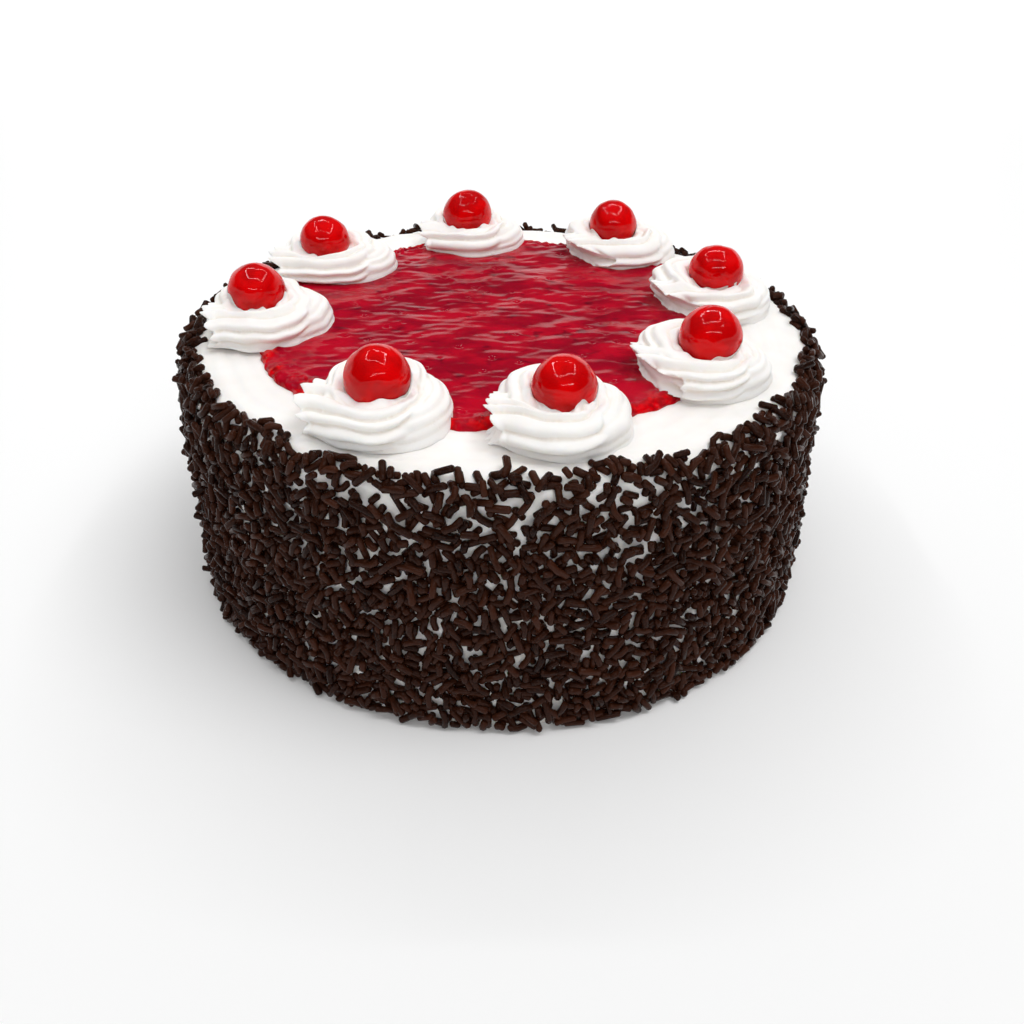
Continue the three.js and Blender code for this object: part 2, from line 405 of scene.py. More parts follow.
def icing_points(angle, along):
    """Points of the icing: the profile swung round at each angle, a little oval, then moved along its own
    normal by low swells, spatula strokes on the top and dimples on the side, which the sprinkles press in.
    This relief fades out at the foot and under the gel."""
    angle, along = np.broadcast_arrays(angle, along)
    radius, height, out, up = icing_profile(along)
    radius = radius + OVAL * np.cos(2 * (angle - OVAL_ANGLE))
    cos, sin = np.cos(angle), np.sin(angle)
    points = np.stack([radius * cos, radius * sin, height], -1)
    normal = np.stack([out * cos, out * sin, up], -1)
    swell = 0.35 * waves(points, 34.0, 11) + 0.22 * waves(points, 13.0, 12)
    stroke = 0.16 * np.sin(radius * 1.1 + 2.0 * waves(points, 60.0, 13)) * ease((up - 0.8) / 0.2)
    dimples = 0.28 * waves(points, 5.0, 14, count=36) * ease((0.9 - up) / 0.3)
    fade = ease((radius - LEVEL_WITHIN) / 8.0) * ease(height / 3.0)
    rise = (0.45 * swell * up + swell * out + stroke + dimples) * fade
    return points + normal * rise[..., None], normal


def make_icing(material):
    """The whole iced body: rings from the middle of the base out, up the side and in to the middle of the
    top, closer together over the shoulder and the open border. Under the gel it lies a little lower."""
    side = TOP - SHOULDER
    level = side + SHOULDER * pi / 2
    border = 26.0
    along = np.concatenate([
        np.linspace(0.0, side, 74, endpoint=False),
        np.linspace(side, level, 18, endpoint=False),
        np.linspace(level, level + border, 40, endpoint=False),
        np.linspace(level + border, level + BASE_RADIUS - SHOULDER - 4.0, 8),
    ])
    angle = np.linspace(0, 2 * pi, 520, endpoint=False)
    points, _ = icing_points(angle[None, :], along[:, None])
    inset = np.array([0.05, 0.5, 0.96])[:, None, None]
    base = points[0][None] * inset * FLATTEN
    points[0] *= np.array([0.992, 0.992, 1.0])
    under_gel = np.linalg.norm(points[..., :2], axis=-1) < LEVEL_WITHIN + 1.0
    points[..., 2] -= np.where(under_gel & (points[..., 2] > TOP - 2.0), 0.25, 0.0)
    piece = closed_surface("icing", np.concatenate([base, points]))
    return finish_piece(piece, "icing", material, "iced_cake")


# ---------------------------------------------------------------- the gel

GEL_RIM = 3.4        # how far in from its edge the gel comes to its full height
BAY_AT = 348.0       # degrees round from the right where the gel's edge draws in
BAY_WIDTH = 9.0      # degrees from the bay's middle to where it has mostly faded
BAY_DEPTH = 5.5
BUBBLES = 80
BUBBLES_WITHIN = 76.0


def gel_outline(angle):
    """Radius of the gel's edge: a circle with slow wanderings and a bay on the right, a little forward,
    plus small notches and drips."""
    slow = 1.2 * np.cos(2 * angle + 5.2) + 0.8 * np.cos(3 * angle + 0.6) + 0.5 * np.sin(5 * angle)
    bay = BAY_DEPTH * np.exp(-((np.degrees(angle) - BAY_AT) / BAY_WIDTH) ** 2)
    ring = circle_points(angle, 80.0)
    return GEL_RADIUS - 0.4 - bay + slow + 0.7 * waves(ring, 13.0, 21) + 0.35 * waves(ring, 4.5, 22)


def bubble_pits(points):
    """How far bubbles lower the gel: each is a pit in the shape of a bell curve, with a faint raised ring
    round it, at a random place within a circle."""
    draw = np.random.default_rng(26)
    depth = np.zeros(points.shape[:-1])
    for _ in range(BUBBLES):
        far = BUBBLES_WITHIN * np.sqrt(draw.uniform())
        way = draw.uniform(0, 2 * pi)
        size = draw.uniform(0.6, 1.3)
        gap = np.hypot(points[..., 0] - far * np.cos(way), (points[..., 1] - far * np.sin(way)) * 1.2)
        depth += 0.5 * size * np.exp(-(gap / size) ** 2)
        depth -= 0.05 * np.exp(-((gap - 1.5 * size) / 0.6) ** 2)
    return depth


def gel_height(points, inward):
    """The gel's height above the icing: it climbs a quarter circle over its rim, then lies level but for
    slow swells, ripples drawn out sideways, puckers near the rim and bubble pits."""
    rim = np.sqrt(np.clip(1 - (1 - np.clip(inward / GEL_RIM, 0, 1)) ** 2, 0, 1))
    relief = 0.14 * waves(points, 10.0, 23, (1.6, 1.0, 1.0), 40)
    relief += 0.06 * waves(points, 4.6, 24, (1.5, 1.0, 1.0), 44)
    relief += 0.22 * waves(points, 26.0, 25)
    relief += 0.4 * waves(points, 3.6, 27, count=40) * ease((10.0 - inward) / 7.0)
    return GEL_THICK * (0.12 + 0.88 * rim) + relief * rim - bubble_pits(points)


def make_gel(material):
    """The gel disc: rings run from under its rim up and in to the middle of its top. The rim attribute is 1
    where the gel thins to its edge."""
    angle = np.linspace(0, 2 * pi, 600, endpoint=False)
    rim_shares = 1 - np.linspace(0, 1, 18, endpoint=False) ** 2 * 0.06
    shares = np.concatenate([rim_shares, np.linspace(0.94, 0.004, 132)])
    outline = gel_outline(angle)
    radius = shares[:, None] * outline
    inward = outline - radius
    points = np.stack([radius * np.cos(angle), radius * np.sin(angle), np.zeros_like(radius)], -1)
    points[..., 2] = TOP + gel_height(points, inward)
    thin = ease((5.5 - inward + 2.2 * waves(points, 9.0, 28)) / 5.0)
    base = points[0][None] * FLATTEN + VERTICAL * (TOP - 0.6)
    middle = base * np.array([0.05, 0.05, 1.0])
    mask = np.concatenate([np.ones((2, len(angle))), thin])
    piece = closed_surface("gel_disc", np.concatenate([middle, base, points]), {"rim": mask})
    return finish_piece(piece, "cherry_gel", material, "cherry_gel")


# ---------------------------------------------------------------- the piped rosettes

# Where the nozzle is as it goes round, clockwise from the back: degrees turned, the coil's radius and
# height, half the rope's width and height, and the depth of its grooves.
COIL = np.array([
    (0, 12.4, 2.4, 3.6, 3.4, 0.3),
    (55, 12.6, 3.6, 6.8, 6.2, 0.6),
    (165, 12.6, 3.6, 7.0, 6.2, 0.6),
    (225, 10.8, 4.0, 5.9, 6.0, 0.9),
    (270, 10.0, 5.4, 6.0, 6.2, 1.4),
    (315, 12.2, 6.6, 7.0, 6.2, 1.4),
    (370, 10.6, 6.8, 7.0, 6.4, 1.2),
    (450, 7.0, 6.8, 4.8, 5.4, 1.1),
    (500, 9.2, 6.2, 6.4, 5.8, 1.9),
    (540, 12.4, 5.4, 9.0, 5.8, 2.3),
])
RUN_OUT = {"turned": 620, "x": -17.5, "y": -3.2, "values": (5.0, 10.6, 4.5, 2.4)}
FAN_RADIUS = 21.0    # the rope's end face stands on a circle of this radius round the rosette's middle
RIDGES = 11
ROPE_STEPS = 300
VOXEL = 0.42         # grid on which a rosette's skin is remeshed
GROOVE_FULL = 0.16   # a point this far under its neighbours counts as deep in a groove
FOOT_FLARE = 1.5     # how far a rosette's foot spreads
LIP_FROM = 1.34      # the lip starts this many cherry radii from a cherry's middle
HUG_FAR = 1.2        # cream up to this many cherry radii from a cherry's middle is drawn in
HUG_NEAR = 0.985     # and it comes no nearer than this
# For each rosette, the degrees that it is turned, and how far its end face's near side passes the circle.
TURNS = (20, 8, 4, 18, 18, 3, 3, -3)
FRONTS = (3.2, 2.0, 2.0, -1.0, -1.5, -2.0, 1.8, 2.0)


def coil_at(turned):
    """The nozzle's path and the rope's section: between the stations of COIL each value eases from one to
    the next while the nozzle circles; past the last one it runs out straight to the left."""
    i = np.clip(np.searchsorted(COIL[:, 0], turned), 1, len(COIL) - 1)
    share = ease((turned - COIL[i - 1, 0]) / (COIL[i, 0] - COIL[i - 1, 0]))[:, None]
    values = COIL[i - 1, 1:] * (1 - share) + COIL[i, 1:] * share
    angle = np.radians(90.0 - turned)
    place = np.stack([values[:, 0] * np.cos(angle), values[:, 0] * np.sin(angle)], -1)
    out = np.clip((turned - COIL[-1, 0]) / (RUN_OUT["turned"] - COIL[-1, 0]), 0, 1)[:, None]
    front = -COIL[-1, 1]
    straight = np.concatenate([out * RUN_OUT["x"], front + (RUN_OUT["y"] - front) * ease(out)], 1)
    place = np.where(out > 0, straight, place)
    rest = values[:, 1:] * (1 - out) + np.array(RUN_OUT["values"]) * out
    return np.concatenate([place, rest], 1)


def rope_directions(turned):
    """Level unit vectors ahead along the rope's path and across it. The last few steps share one heading."""
    heading = coil_at(turned + 1.0)[:, :2] - coil_at(turned - 1.0)[:, :2]
    heading /= np.linalg.norm(heading, axis=1)[:, None]
    heading[-6:] = heading[-7]
    ahead = np.concatenate([heading, np.zeros((len(turned), 1))], 1)
    return ahead, np.stack([-ahead[:, 1], ahead[:, 0], ahead[:, 2]], -1)


def ridge_places(draw, turned, width, tall, way):
    """Each point's place among the ridges: its share of the way round its oval section times the number of
    ridges, drifting slowly along the rope and made uneven by two slow sines."""
    rates = np.hypot(width[:, None] * np.sin(way), tall[:, None] * np.cos(way))
    share = (np.cumsum(rates, axis=1) - rates / 2) / rates.sum(1, keepdims=True)
    drift = draw.uniform(-0.5, 0.5) + 0.0022 * (turned - COIL[-1, 0])
    uneven = 0.28 * np.sin(4 * pi * share + draw.uniform(0, 6.3) + 0.004 * turned[:, None])
    uneven += 0.12 * np.sin(10 * pi * share + draw.uniform(0, 6.3) + 0.01 * turned[:, None])
    return RIDGES * share + drift[:, None] + uneven


def way_to_circle(place, ahead, across, half_width, way, front):
    """How far each point of the rope's end has to go ahead to reach the fan's circle, by the root of the
    equation of a line and a circle. The circle swells by front on the near side and shrinks on the other."""
    flat = place + across * (half_width * np.cos(way))[:, None]
    run = flat @ ahead
    near, beyond = (1 + np.cos(way)) / 2, (1 - np.cos(way)) / 2
    circle = FAN_RADIUS + front * near ** 2 - 2.4 * beyond ** 2
    return np.sqrt(np.maximum(run ** 2 - (flat ** 2).sum(1) + circle ** 2, 1.0)) - run


def tooth_lengths(draw, ridge_at, way):
    """How far each point of the rope's end runs ahead as part of a tooth: the square of its crest, in sizes
    that differ from ridge to ridge, longest on the near side, less a cut back underneath."""
    sizes = draw.uniform(0.5, 1.5, RIDGES + 2)
    crest = np.cos(pi * ridge_at) ** 2
    which = np.floor(ridge_at + 0.5).astype(int) % len(sizes)
    tooth = sizes[which] * (crest - 0.4) * (0.5 + 0.5 * np.clip(np.cos(way) + 0.7, 0.0, 1.0))
    return 2.0 * tooth - 2.5 * ((1 - np.sin(way)) / 2) ** 2


def rope_surface(seed, front):
    """The ridged rope carried along the coil: across each section the radius swells and dips as the size of
    a cosine, so that crests are round and grooves are sharp. Over its last stretch it fans out to a circle
    round the rosette's middle and its crests run ahead as teeth. Both ends close in by a cosine."""
    draw = np.random.default_rng(seed)
    turned = np.linspace(0.0, RUN_OUT["turned"], ROPE_STEPS)
    track = coil_at(turned)
    ahead, across = rope_directions(turned)
    way = np.linspace(0, 2 * pi, 216, endpoint=False)
    width = track[:, 3] * draw.uniform(0.97, 1.02)
    tall = track[:, 4] * draw.uniform(0.97, 1.02)
    ridge_at = ridge_places(draw, turned, width, tall, way)
    lobes = track[:, 5][:, None] * (np.abs(np.cos(pi * ridge_at)) - 0.62)
    fan = way_to_circle(track[-1, :2], ahead[-1, :2], across[-1, :2], width[-1], way, front)
    teeth = tooth_lengths(draw, ridge_at, way)
    forward = ease((turned - 545.0) / 75.0)[:, None] * fan
    forward += ease((turned - 600.0) / 20.0)[:, None] ** 2 * teeth
    body = (track[:, None, :3] + across[:, None, :] * ((width[:, None] + lobes) * np.cos(way))[..., None]
            + VERTICAL * ((tall[:, None] + lobes) * np.sin(way))[..., None]
            + ahead[:, None, :] * forward[..., None])
    shrink = np.cos(np.linspace(0, 0.97, 15)[1:] * pi / 2)[:, None, None]
    start, end = body[0].mean(0), body[-1].mean(0)
    start_rings = start + (body[0] - start) * shrink[::-1]
    end_rings = end + (body[-1] - end) * shrink - ahead[-1] * (1.4 * (1 - shrink))
    return np.concatenate([start_rings, body, end_rings])


def core_surface():
    """A low round plug of cream that fills the coil's middle."""
    angle = np.linspace(0, 2 * pi, 72, endpoint=False)
    return np.stack([circle_points(angle, radius) + VERTICAL * height
                     for radius, height in ((10.0, 0.0), (10.0, 3.0), (9.0, 7.0))])


def melted_together(name, surfaces, voxel, passes):
    """One skin over several closed surfaces, in millimetres: they are joined, remeshed on a grid of
    voxel millimetres and smoothed, and the mesh is returned with its points, still in millimetres."""
    points, quads, fans, start = [], [], [], 0
    for grid in surfaces:
        rings, around = grid.shape[:2]
        poles = np.stack([grid[0].mean(0), grid[-1].mean(0)])
        points += [grid.reshape(-1, 3), poles]
        grid_quads, grid_fans = ring_faces(rings, around)
        quads.append(grid_quads + start)
        fans.append(grid_fans + start)
        start += rings * around + 2
    rough = mesh_from(f"{name}_rough", np.concatenate(points) / MM, np.concatenate(quads),
                      np.concatenate(fans))
    remesh = rough.modifiers.new("melt", "REMESH")
    remesh.mode = "VOXEL"
    remesh.voxel_size = voxel
    remesh.use_smooth_shade = True
    soften = rough.modifiers.new("soften", "SMOOTH")
    soften.factor = 0.5
    soften.iterations = passes
    seen = rough.evaluated_get(bpy.context.evaluated_depsgraph_get())
    mesh = bpy.data.meshes.new_from_object(seen)
    mesh.name = name
    bpy.data.objects.remove(rough)
    flat = np.empty(len(mesh.vertices) * 3, np.float32)
    mesh.vertices.foreach_get("co", flat)
    return mesh, flat.reshape(-1, 3).astype(float)


def neighbour_mean(mesh, values):
    """The mean of a value over each point's neighbours along the mesh's edges."""
    ends = np.empty(len(mesh.edges) * 2, np.int32)
    mesh.edges.foreach_get("vertices", ends)
    ends = ends.reshape(-1, 2)
    total = np.zeros_like(values)
    count = np.zeros(len(values))
    for here, there in ((0, 1), (1, 0)):
        np.add.at(total, ends[:, here], values[ends[:, there]])
        np.add.at(count, ends[:, here], 1.0)
    return total / np.maximum(count, 1.0).reshape((-1,) + (1,) * (values.ndim - 1))


def groove_depths(mesh, points):
    """How far each point lies in a groove, 0 to 1: the height of the neighbours' mean above the point,
    along its normal, spread over a few points."""
    normals = np.empty(len(mesh.vertices) * 3, np.float32)
    mesh.vertices.foreach_get("normal", normals)
    mean = points
    for _ in range(5):
        mean = neighbour_mean(mesh, mean)
    lift = ((mean - points) * normals.reshape(-1, 3)).sum(1)
    return np.clip(lift / GROOVE_FULL, 0, 1)


def shoulder_drop(place):
    """How far the shoulder has fallen below the flat top at a place's distance from the cake's middle."""
    beyond = np.clip(np.linalg.norm(place[:, :2], axis=1) - (BASE_RADIUS - TAPER - SHOULDER), 0, SHOULDER)
    return SHOULDER - np.sqrt(SHOULDER ** 2 - beyond ** 2)


def fitted(points, number):
    """The swirl turned round its middle, then stretched and moved to fill its CAD rosette's box as seen
    from above, less a little on each side and plus a little in front and behind."""
    low, high = box_mm(f"rosette_{number}")
    turn = radians(TURNS[number - 1])
    cos, sin = np.cos(turn), np.sin(turn)
    points = points @ np.array([[cos, sin, 0], [-sin, cos, 0], [0, 0, 1]])
    least, most = points[:, :2].min(0), points[:, :2].max(0)
    stretch = (high[:2] - low[:2] + np.array([-0.4, 2.0])) / (most - least)
    middle = (low[:2] + high[:2]) / 2
    points[:, :2] = middle + (points[:, :2] - (least + most) / 2) * stretch
    return points, middle


def foot_spread(points, middle):
    """How far the cream's foot spreads outwards: the square of how near it is to the ground."""
    outward = points[:, :2] - middle
    far = np.linalg.norm(outward, axis=1)
    flare = FOOT_FLARE * np.clip(1 - points[:, 2] / 4.5, 0, 1) ** 2 * ease((far - 9.0) / 5.0)
    return outward * (flare / np.maximum(far, 1.0))[:, None]


def cream_sway(points, number):
    """Slow waves that move the cream a little each way, so that no two rosettes are alike."""
    return 0.35 * np.stack([waves(points, 15.0, 60 + number), waves(points, 15.0, 70 + number),
                            0.7 * waves(points, 11.0, 80 + number)], -1)


def lip_rise(points, away, number):
    """How far the cream rises near its cherry, given each point's offset in cherry radii: a ragged lip that
    grows with the square of its nearness, less a dip in front. The low part of the rosette stays."""
    reach = np.linalg.norm(away, axis=1)
    nearness = np.clip((LIP_FROM - reach) / (LIP_FROM - 1.0), 0, 1)
    ring = away * FLATTEN * 9.4
    ragged = 0.7 * waves(ring, 9.0, 90 + number) + 0.5 * waves(ring, 4.5, 190 + number)
    dip = 2.2 * ease((1.6 - reach) / 0.6) * ease(away @ np.array([0.3, -1.0, 0.0]) * 1.3 - 0.1)
    return (nearness ** 2 * (0.3 + 1.1 * ragged) - dip) * ease((points[:, 2] - TOP - 3.0) / 3.0)


def drawn_to_cherry(reach):
    """New distances from the cherry's middle, in its radii: those short of HUG_FAR shrink by a power towards
    HUG_NEAR, and none stays under it."""
    span = HUG_FAR - HUG_NEAR
    past = np.maximum(reach - HUG_NEAR, 0.0)
    return np.where(reach < HUG_FAR, HUG_NEAR + past ** 1.6 / span ** 0.6, reach)


def settled(points):
    """The height of each point once the rosette has sunk with the cake's shoulder, less so higher up, and
    none below the ground just under the icing's skin."""
    drop = shoulder_drop(points)
    sunk = points[:, 2] - drop * ease((TOP + 7.0 - points[:, 2]) / 7.0)
    return np.maximum(sunk, TOP - 0.35 - drop)


def make_rosette(number, material):
    """One rosette: the rope and its core melted together, turned to its place round the cake, pushed aside
    by its cherry with a ragged lip round it, and settled on the cake's top."""
    swirl = [rope_surface(40 + number, FRONTS[number - 1]), core_surface()]
    mesh, points = melted_together(f"cream_swirl_{number}", swirl, VOXEL, 3)
    groove = groove_depths(mesh, points)
    points, middle = fitted(points, number)
    points[:, :2] += foot_spread(points, middle)
    points[:, 2] += TOP
    points += cream_sway(points, number)
    cherry_low, cherry_high = box_mm(f"cherry_{number}")
    cherry, half = (cherry_low + cherry_high) / 2, (cherry_high - cherry_low) / 2
    points[:, 2] += lip_rise(points, (points - cherry) / half, number)
    away = (points - cherry) / half
    reach = np.linalg.norm(away, axis=1)
    points = cherry + away * (drawn_to_cherry(reach) / np.maximum(reach, 1e-6))[:, None] * half
    points[:, 2] = settled(points)
    bleed = ease((1.35 - reach) / 0.35)
    mesh.vertices.foreach_set("co", (points * MM).astype(np.float32).ravel())
    mesh.update()
    # the groove attribute carries the painted shade in the cream's grooves
    add_attributes(mesh, {"groove": groove, "bleed": bleed})
    return finish_piece(placed(mesh.name, mesh), "piped_cream", material, f"rosette_{number}")


# ---------------------------------------------------------------- the cherries


def unit_ball(rings, around):
    """Points of a ball of radius 1, ring by ring from its lowest to its highest."""
    fall = np.linspace(pi, 0, rings + 2)[1:-1, None]
    angle = np.linspace(0, 2 * pi, around, endpoint=False)[None, :]
    level = np.sin(fall)
    return np.stack([level * np.cos(angle), level * np.sin(angle), np.cos(fall) + 0 * angle], -1)


def stem_pucker(draw, ball):
    """A bell curve of the angle from where the stem was, which leans forward from straight up."""
    lean = radians(draw.uniform(20, 32))
    way = radians(draw.uniform(-110, -70))
    stem = np.array([np.sin(lean) * np.cos(way), np.sin(lean) * np.sin(way), np.cos(lean)])
    return np.exp(-(np.arccos(np.clip(ball @ stem, -1, 1)) / 0.22) ** 2)


def make_cherry(number, material):
    """A candied cherry: a ball with slow unevenness, a shallow hollow where the stem was, and a few shallow
    creases where a slow wave crosses zero. The hollow attribute is larger in both and puts painted shade
    there."""
    low, high = box_mm(f"cherry_{number}")
    middle, half = (low + high) / 2, (high - low) / 2
    ball = unit_ball(72, 96)
    pucker = stem_pucker(np.random.default_rng(100 + number), ball)
    slow = waves(ball, 2.4, 120 + number)
    wobble = waves(ball, 0.62, 110 + number) + 0.22 * waves(ball, 0.36, 210 + number)
    crease = np.exp(-(waves(ball, 1.5, 130 + number) / 0.10) ** 2)
    crease *= ease(waves(ball, 1.1, 140 + number) * 2.0)
    radius = 0.978 + 0.03 * slow + 0.007 * wobble - 0.010 * pucker - 0.014 * crease
    # hollow is the mask of painted shade in the stem hollow and the creases
    hollow = np.clip(0.3 * pucker + 0.25 * crease, 0, 1)
    points = middle + ball * half * radius[..., None]
    piece = closed_surface(f"candied_cherry_{number}", points, {"hollow": hollow})
    return finish_piece(piece, "cherry", material, f"cherry_{number}")


# ---------------------------------------------------------------- the sprinkles

SPRINKLE_RADIUS = 1.06
SPRINKLE_LENGTH = 5.3
SHORT_UNDER = 4.6    # a sprinkle shorter than this goes into the mesh of short ones
BENT_OVER = 0.33     # and one that bows more than this into the mesh of bent ones
STANDING_SHARE = 0.14                  # of the sprinkles, how many are tipped well out of the surface
SIDES = 7
CELL = 0.4           # side of the fine cells that a sprinkle marks as taken
BATCH = 700          # sprinkles dropped at a time
BATCHES = 60
REACH_UP = TOP - SHOULDER + 10.0       # how far along the side the sprinkles may go
# For each layer: how full it is low down and near the top, how wide a lane each sprinkle keeps free, and
# how far its sprinkles lie above the icing.
LAYERS = ((1.0, 0.62, 1.5, 0.25), (1.0, 0.3, 1.5, 1.45), (0.6, 0.08, 1.8, 2.4))


def sprinkle_template(bent):
    """The rings of a blunt-ended rod: for each point its share of the half length, its share of the radius
    along the rod, and its two shares of the radius across it."""
    stations = [(-1.0, -0.97, 0.62), (-1.0, -0.55, 1.0), (0.0, 0.0, 1.0), (1.0, 0.55, 1.0), (1.0, 0.97, 0.62)]
    if not bent:
        stations.pop(2)
    turn = np.arange(SIDES) * 2 * pi / SIDES
    length, end, wide = np.array(stations).T[..., None]
    rings = np.stack(np.broadcast_arrays(length, end, wide * np.cos(turn), wide * np.sin(turn)), -1)
    tips = np.array([[-1.0, -1.0, 0.0, 0.0], [1.0, 1.0, 0.0, 0.0]])
    return np.concatenate([rings.reshape(-1, 4), tips]), ring_faces(len(stations), SIDES)


def covered_cells(across, along, direction, length, width, shape):
    """The cells that each rod covers: a few lanes of points along it, each put in its cell."""
    cos, sin = np.cos(direction)[:, None, None], np.sin(direction)[:, None, None]
    run = np.linspace(-1, 1, 11)[:, None] * (length / 2 - 0.4)[:, None, None]
    off = np.linspace(-1, 1, 4) * width / 2
    x = across[:, None, None] + run * cos - off * sin
    y = along[:, None, None] + run * sin + off * cos
    i = (np.floor(x / CELL).astype(int) % shape[0]).reshape(len(across), -1)
    j = np.clip(np.floor(y / CELL).astype(int), 0, shape[1] - 1).reshape(len(across), -1)
    return i, j


def lay_sprinkles(seed, coverage_at, width):
    """Places for rods on the unrolled side, so that rods of one layer hardly touch: rods are dropped in
    batches at random places and angles, each marks the fine cells that it covers, and it stays where all
    its cells were free and no later rod of its batch took one. Returns angle, distance along the side,
    direction and length."""
    draw = np.random.default_rng(seed)
    girth = 2 * pi * BASE_RADIUS
    shape = int(girth / CELL), int((REACH_UP + 8.0) / CELL)
    taken = np.zeros(shape, bool)
    kept = []
    for _ in range(BATCHES):
        across = draw.uniform(0, girth, BATCH)
        along = draw.uniform(0.6, REACH_UP + 6.0, BATCH)
        direction = draw.uniform(0, pi, BATCH)
        length = np.clip(draw.normal(SPRINKLE_LENGTH, 1.2, BATCH), 2.8, 8.4)
        wanted = draw.uniform(0, 1, BATCH) < coverage_at(across / BASE_RADIUS, along)
        i, j = covered_cells(across, along, direction, length, width, shape)
        free = wanted & ~taken[i, j].any(1)
        i, j = i[free], j[free]
        owner = np.full(shape, -1)
        ids = np.arange(len(i))
        owner[i.ravel(), j.ravel()] = np.repeat(ids, i.shape[1])
        stays = (owner[i, j] == ids[:, None]).all(1)
        taken[i[stays].ravel(), j[stays].ravel()] = True
        kept.append(np.stack([across / BASE_RADIUS, along, direction, length], -1)[free][stays])
    return np.concatenate(kept)


def sprinkle_limit(angle):
    """How far up the side and over the shoulder the sprinkles reach, ragged all the way round."""
    ring = circle_points(angle, 100.0)
    return TOP - SHOULDER + 7.6 + 1.1 * waves(ring, 24.0, 151) + 1.0 * waves(ring, 7.0, 152)


def coverage(angle, along, full, high_share):
    """The chance that a rod may lie at a place: full low down, thinner in uneven patches towards the top,
    and none past the ragged limit."""
    place = np.stack([100.0 * np.cos(angle), 100.0 * np.sin(angle), along], -1)
    patch = 0.5 + 0.5 * waves(place, 15.0, 153)
    top = ease((along - 50.0 - 10.0 * patch) / 16.0)
    limit = sprinkle_limit(angle)
    rim = np.exp(-((limit - 2.6 - along) / 2.6) ** 2)
    chance = full * (1 - top) + high_share * top * (0.55 + 0.6 * patch) + 0.75 * full * rim
    return np.where(along < limit, chance, 0.0)


def sprinkle_rods(places, layer):
    """Each rod's middle, its three axes and its sizes: laid on the icing's surface along its direction,
    raised by its layer, tipped a little out of the surface, or a lot for the few that stand up, and kept
    above the ground."""
    draw = np.random.default_rng(170 + layer)
    angle, along, direction, length = places.T
    count = len(angle)
    ground, normal = icing_points(angle, along)
    round_way = np.stack([-np.sin(angle), np.cos(angle), 0 * angle], -1)
    up_way = np.cross(normal, round_way)
    stands = draw.uniform(0, 1, count) < STANDING_SHARE
    tip = np.radians(draw.normal(0, 1, count) * np.where(stands, 38.0, 7.0 + 5.0 * layer))
    flat = np.cos(direction)[:, None] * round_way + np.sin(direction)[:, None] * up_way
    ahead = flat * np.cos(tip)[:, None] + normal * np.sin(tip)[:, None]
    aside = np.cross(normal, ahead)
    aside /= np.linalg.norm(aside, axis=1)[:, None]
    lift = LAYERS[layer][3] + draw.uniform(-0.15, 0.35, count)
    middle = ground + normal * lift[:, None]
    thick = SPRINKLE_RADIUS * draw.uniform(0.9, 1.08, count)
    bend = draw.normal(0, 0.5, count)
    lowest = middle[:, 2] - np.abs(ahead[:, 2]) * (length / 2 - thick) - thick - np.abs(bend)
    middle[:, 2] += np.maximum(0.3 - lowest, 0)
    shade = np.clip(draw.normal(0.5, 0.25, count), 0, 1)
    return {"middle": middle, "ahead": ahead, "aside": aside, "above": np.cross(ahead, aside),
            "half": length / 2, "thick": thick, "bend": bend, "shade": shade}


def join_sprinkles(name, rods, bent, material):
    """One joined mesh of rods: the template's shares times each rod's sizes along its own axes, bowed
    sideways by a parabola where the rods are bent."""
    rows, (quads, fans) = sprinkle_template(bent)
    half, thick, bend = (rods[key][:, None] for key in ("half", "thick", "bend"))
    run = rows[:, 0] * (half - thick) + rows[:, 1] * thick
    aside = rows[:, 2] * thick
    if bent:
        aside = aside + bend * (1 - (run / half) ** 2)
    above = rows[:, 3] * thick
    points = (rods["middle"][:, None] + run[..., None] * rods["ahead"][:, None]
              + aside[..., None] * rods["aside"][:, None] + above[..., None] * rods["above"][:, None])
    starts = (np.arange(len(points)) * len(rows))[:, None, None]
    shade = np.repeat(rods["shade"], len(rows))
    piece = mesh_from(name, points.reshape(-1, 3), (quads[None] + starts).reshape(-1, 4),
                      (fans[None] + starts).reshape(-1, 3), {"shade": shade})
    return finish_piece(piece, "sprinkles", material)


def make_sprinkles(material):
    """All the sprinkles, in three layers, then sorted into straight, bent and short ones."""
    layers = []
    for layer, (full, high_share, width, _) in enumerate(LAYERS):
        places = lay_sprinkles(160 + layer, lambda a, s: coverage(a, s, full, high_share), width)
        layers.append(sprinkle_rods(places, layer))
    rods = {key: np.concatenate([layer[key] for layer in layers]) for key in layers[0]}
    short = rods["half"] * 2 < SHORT_UNDER
    bowed = ~short & (np.abs(rods["bend"]) > BENT_OVER)
    kinds = (("sprinkles_straight", ~short & ~bowed, False), ("sprinkles_bent", bowed, True),
             ("sprinkles_short", short, False))
    for name, chosen, bent in kinds:
        join_sprinkles(name, {key: values[chosen] for key, values in rods.items()}, bent, material)


# ---------------------------------------------------------------- the floor, lights and camera


def make_floor():
    """A wide plain pale floor."""
    half = 12000.0
    corners = np.array([(-half, -half, 0), (half, -half, 0), (half, half, 0), (-half, half, 0)])
    floor = mesh_from("floor", corners, np.array([[0, 1, 2, 3]]))
    finish = Finish("pale_floor")
    finish.set(Base_Color=(0.93, 0.93, 0.93, 1.0), Roughness=0.7, Specular_IOR_Level=0.2)
    floor.data.materials.append(finish.material)


def soft_light(name, place, aim, width, height, power, glossy=True):
    """A rectangular soft light at a place, turned to face aim, in metres and watts."""
    lamp = bpy.data.lights.new(name, "AREA")
    lamp.shape = "RECTANGLE"
    lamp.size = width
    lamp.size_y = height
    lamp.energy = power
    holder = placed(name, lamp)
    holder.visible_glossy = glossy
    holder.location = place
    holder.rotation_euler = (Vector(aim) - Vector(place)).to_track_quat("-Z", "Y").to_euler()


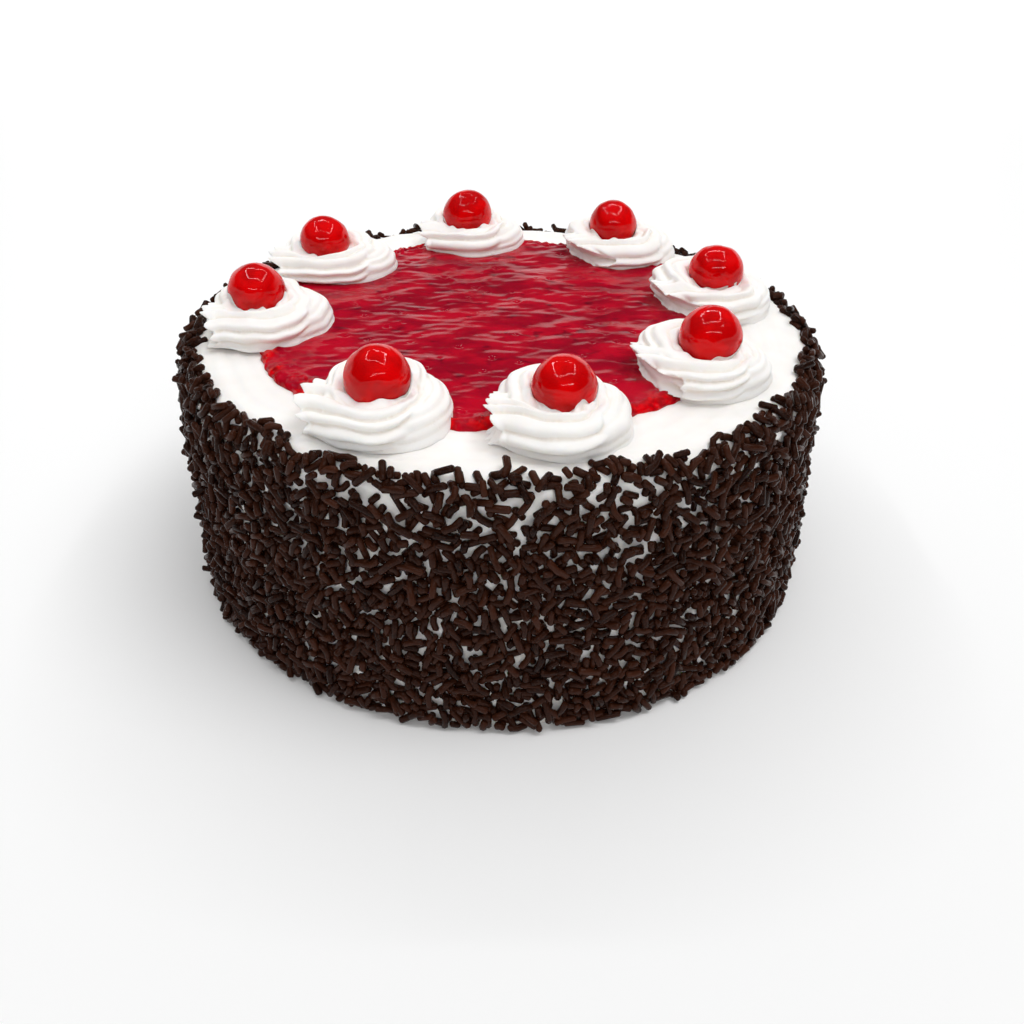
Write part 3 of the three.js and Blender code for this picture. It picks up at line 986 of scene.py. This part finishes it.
def wide_light(name, direction, power, spread):
    """A soft light from far away, in a direction, that leaves no blot of its own in glossy surfaces."""
    lamp = bpy.data.lights.new(name, "SUN")
    lamp.energy = power
    lamp.angle = radians(spread)
    holder = placed(name, lamp)
    holder.rotation_euler = Vector(direction).to_track_quat("-Z", "Y").to_euler()
    holder.visible_glossy = False


def room_wall(tree, height, stops):
    """A grey that changes with the height of the direction looked in, from stop to stop."""
    ramp = tree.nodes.new("ShaderNodeValToRGB")
    tree.links.new(height, ramp.inputs["Fac"])
    elements = ramp.color_ramp.elements
    elements[0].position, elements[1].position = stops[0][0], stops[-1][0]
    for spot, _ in stops[1:-1]:
        elements.new(spot)
    for element, (_, level) in zip(elements, stops):
        element.color = (level, level, level, 1.0)
    return ramp.outputs["Color"]


def make_room():
    """The room's light: bright at the horizon, dark above it and a little brighter overhead, with the bright
    band taller behind the cake than in front of it."""
    world = bpy.data.worlds.new("studio")
    world.use_nodes = True
    tree = world.node_tree
    way = tree.nodes.new("ShaderNodeTexCoord")
    split = tree.nodes.new("ShaderNodeSeparateXYZ")
    behind = tree.nodes.new("ShaderNodeMapRange")
    behind.inputs["From Max"].default_value = 0.6
    walls = tree.nodes.new("ShaderNodeMix")
    walls.data_type = "RGBA"
    tree.links.new(way.outputs["Generated"], split.inputs[0])
    tree.links.new(split.outputs["Y"], behind.inputs["Value"])
    tree.links.new(behind.outputs["Result"], walls.inputs[0])
    front = room_wall(tree, split.outputs["Z"], ((0.10, 0.9), (0.18, 0.04), (0.50, 0.06), (0.75, 0.16)))
    back = room_wall(tree, split.outputs["Z"], ((0.10, 0.95), (0.28, 0.9), (0.35, 0.05), (0.75, 0.14)))
    tree.links.new(front, walls.inputs[6])
    tree.links.new(back, walls.inputs[7])
    tree.links.new(walls.outputs[2], tree.nodes["Background"].inputs["Color"])
    bpy.context.scene.world = world


def hang_strips():
    """A square ring of narrow soft lights over the cake, facing down."""
    centre = Vector((0.0, 0.15, 0.85))
    half, narrow = 0.4, 0.025
    long, between = 2 * half + narrow, 2 * half - narrow
    strips = (("strip_left", -half, 0.0, narrow, long), ("strip_right", half, 0.0, narrow, long),
              ("strip_back", 0.0, half, between, narrow), ("strip_front", 0.0, -half, between, narrow))
    for name, x, y, width, depth in strips:
        place = centre + Vector((x, y, 0.0))
        soft_light(name, place, place - Vector((0.0, 0.0, 1.0)), width, depth, 1.15)


def light_studio():
    """The room, three wide soft lights, the strips overhead, a strip in front and a panel behind."""
    make_room()
    wide_light("key", (-0.5, 0.12, -1.0), 0.86, 36)
    wide_light("dome", (0.1, 0.0, -1.0), 0.36, 130)
    wide_light("fill", (0.15, 1.0, -0.45), 0.36, 70)
    hang_strips()
    soft_light("front", (0.1, -1.1, 0.86), (0.0, 0.0, 0.05), 1.2, 0.06, 2.8)
    soft_light("backdrop", (0.0, 1.7, 0.75), (0.0, 1.7, 0.0), 3.6, 1.7, 17.0, glossy=False)


def place_camera():
    """The camera in front of the cake and above it, looking down on it."""
    pan, tilt, roll = radians(0.841), radians(32.617), radians(0.524)
    forward = np.array([np.sin(pan) * np.cos(tilt), np.cos(pan) * np.cos(tilt), -np.sin(tilt)])
    right = np.cross(forward, (0.0, 0.0, 1.0))
    right /= np.linalg.norm(right)
    up = np.cross(right, forward)
    right, up = (np.cos(roll) * right + np.sin(roll) * up, -np.sin(roll) * right + np.cos(roll) * up)
    lens = bpy.data.cameras.new("camera")
    lens.lens = 34.58
    lens.sensor_width = 36.0
    lens.shift_y = -0.0115
    camera = placed("camera", lens)
    turn = Matrix((right, up, -forward)).transposed().to_4x4()
    camera.matrix_world = Matrix.Translation((0.0, -0.3105, 0.2088)) @ turn
    bpy.context.scene.camera = camera


place_camera()
light_studio()
bpy.context.scene.view_settings.view_transform = "Standard"
make_floor()

whipped_group = whipped_finish()
make_icing(icing_material(whipped_group))
make_gel(gel_material())
cream = cream_material(whipped_group)
candied = cherry_material()
for number in PLACES:
    make_rosette(number, cream)
    make_cherry(number, candied)
make_sprinkles(sprinkle_material())
